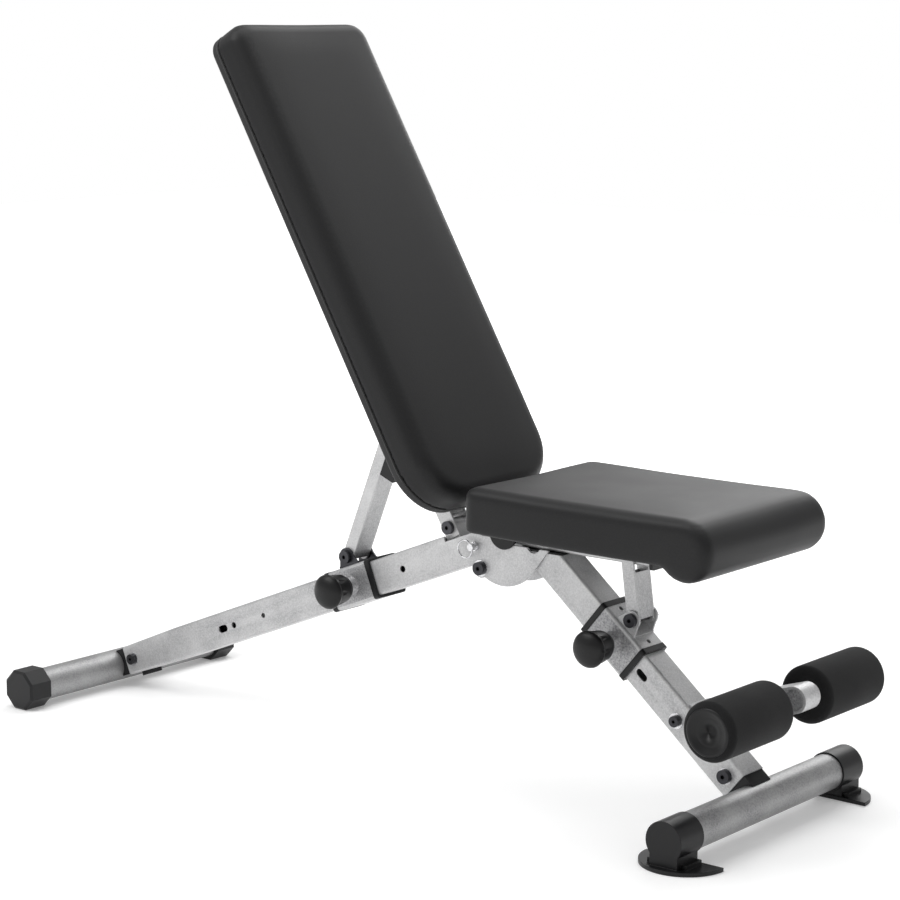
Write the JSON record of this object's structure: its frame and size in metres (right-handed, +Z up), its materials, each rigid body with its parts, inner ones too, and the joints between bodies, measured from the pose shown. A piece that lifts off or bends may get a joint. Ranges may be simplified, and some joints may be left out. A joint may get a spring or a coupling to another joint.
{
  "type": "decline sit up bench",
  "caption": "Folding adjustable sit up bench with a padded backrest and seat on a silver steel frame, sliding support carriages with pop-pin knobs, and foam leg rollers.",
  "frame": {"origin": "centre of the footprint, on the floor", "axes": "+X the way the sitter faces, towards the leg rollers; +Y to the sitter's left; +Z up"},
  "size_m": [1.316, 0.466, 1.0476],
  "materials": {
    "silver_steel": "fine silver hammered powder coat",
    "black_plastic": "satin moulded black",
    "black_steel": "black oxide and black coat",
    "bright_steel": "bright plated",
    "black_vinyl": "fine grained matte upholstery",
    "board_cover": "black covered board",
    "foam": "matte closed cell foam"
  },
  "bodies": {
    "front_frame": {"front_leg": "silver_steel", "leg_end_plug": "black_plastic", "hinge_cheeks": "silver_steel", "seat_hinge_bolt": "bright_steel", "seat_hinge_caps": "black_plastic", "seat_spacers": "black_plastic", "front_crossbar": "silver_steel", "front_foot_right": "black_plastic", "front_foot_left": "black_plastic", "front_saddle": "black_plastic", "frame_bolts": "black_steel", "frame_washers": "bright_steel", "roller_arm": "silver_steel", "roller_axle": "silver_steel"},
    "rear_frame": {"rear_rail": "silver_steel", "rail_tongue": "silver_steel", "rear_crossbar": "silver_steel", "rear_caps": "black_plastic", "rear_saddle": "black_plastic", "rear_end_bolt": "black_steel", "rear_washers": "bright_steel", "rail_bumper": "black_plastic", "back_hinge_bolt": "black_steel"},
    "backrest": {"back_hinge_plates": "silver_steel", "back_tube": "silver_steel", "back_tube_plug": "black_plastic", "back_cross_bars": "silver_steel", "back_board": "board_cover", "back_pad": "black_vinyl", "back_screws": "black_steel"},
    "seat": {"seat_tube": "silver_steel", "seat_tube_plug": "black_plastic", "seat_board": "board_cover", "seat_pad": "black_vinyl", "seat_screws": "black_steel"},
    "rear_carriage": {"rear_rings": "black_plastic", "rear_sleeve": "silver_steel", "rear_strut_bracket": "black_steel", "rear_strut_bolt": "black_steel"},
    "rear_knob_body": {"rear_knob": "black_plastic", "rear_knob_pin": "bright_steel"},
    "rear_strut_body": {"rear_strut": "silver_steel", "rear_strut_caps": "black_steel", "strut_bumper": "black_plastic"},
    "front_carriage": {"front_rings": "black_plastic", "front_sleeve": "silver_steel", "front_strut_bracket": "silver_steel", "front_strut_bolt": "black_steel"},
    "front_knob_body": {"front_knob": "black_plastic", "front_knob_pin": "bright_steel"},
    "front_strut_body": {"front_strut": "silver_steel", "front_strut_caps": "black_steel"},
    "lock_pin_body": {"lock_pin": "bright_steel", "pull_ring": "bright_steel"},
    "right_roller": {"right_foam": "foam", "right_roller_tube": "black_plastic", "right_roller_cap": "black_plastic"},
    "left_roller": {"left_foam": "foam", "left_roller_tube": "black_plastic", "left_roller_cap": "black_plastic"}
  },
  "joints": [
    {"name": "fold", "type": "hinge", "parent": "front_frame", "child": "rear_frame", "pos_m": [0.1297, 0, 0.2947], "axis": [0, -1, 0], "range_deg": [0, 118]},
    {"name": "backrest_tilt", "type": "hinge", "parent": "rear_frame", "child": "backrest", "pos_m": [0.064, 0, 0.343], "axis": [0, -1, 0], "range_deg": [-15, 59]},
    {"name": "rear_carriage_slide", "type": "slide", "parent": "rear_frame", "child": "rear_carriage", "axis": [0.9295, 0, 0.3689], "range_m": [-0.219, 0.058]},
    {"name": "rear_strut_swing", "type": "hinge", "parent": "rear_carriage", "child": "rear_strut_body", "pos_m": [-0.12727, 0, 0.27556], "axis": [0, -1, 0], "range_deg": [-32, 9]},
    {"name": "rear_knob_pull", "type": "slide", "parent": "rear_carriage", "child": "rear_knob_body", "axis": [0, -1, 0], "range_m": [0, 0.01], "stiffness_N_per_m": 400},
    {"name": "seat_tilt", "type": "hinge", "parent": "front_frame", "child": "seat", "pos_m": [0.1705, 0, 0.351], "axis": [0, -1, 0], "range_deg": [0, 10]},
    {"name": "front_carriage_slide", "type": "slide", "parent": "front_frame", "child": "front_carriage", "axis": [-0.766, 0, 0.6428], "range_m": [0, 0.063]},
    {"name": "front_strut_swing", "type": "hinge", "parent": "front_carriage", "child": "front_strut_body", "pos_m": [0.38507, 0, 0.25709], "axis": [0, -1, 0], "range_deg": [-28, 0]},
    {"name": "front_knob_pull", "type": "slide", "parent": "front_carriage", "child": "front_knob_body", "axis": [0, -1, 0], "range_m": [0, 0.01], "stiffness_N_per_m": 400},
    {"name": "lock_pin_pull", "type": "slide", "parent": "front_frame", "child": "lock_pin_body", "axis": [0, -1, 0], "range_m": [0, 0.045]},
    {"name": "right_roller_spin", "type": "hinge", "parent": "front_frame", "child": "right_roller", "pos_m": [0.6185, 0, 0.179], "axis": [0, 1, 0], "continuous": true},
    {"name": "left_roller_spin", "type": "hinge", "parent": "front_frame", "child": "left_roller", "pos_m": [0.6185, 0, 0.179], "axis": [0, 1, 0], "continuous": true}
  ],
  "couplings": [
    {"joint": "rear_carriage_slide", "follows": "backrest_tilt", "m_per_rad": -0.2114},
    {"joint": "rear_strut_swing", "follows": "backrest_tilt", "ratio": -0.534},
    {"joint": "front_carriage_slide", "follows": "seat_tilt", "m_per_rad": 0.354},
    {"joint": "front_strut_swing", "follows": "seat_tilt", "ratio": -2.71}
  ]
}
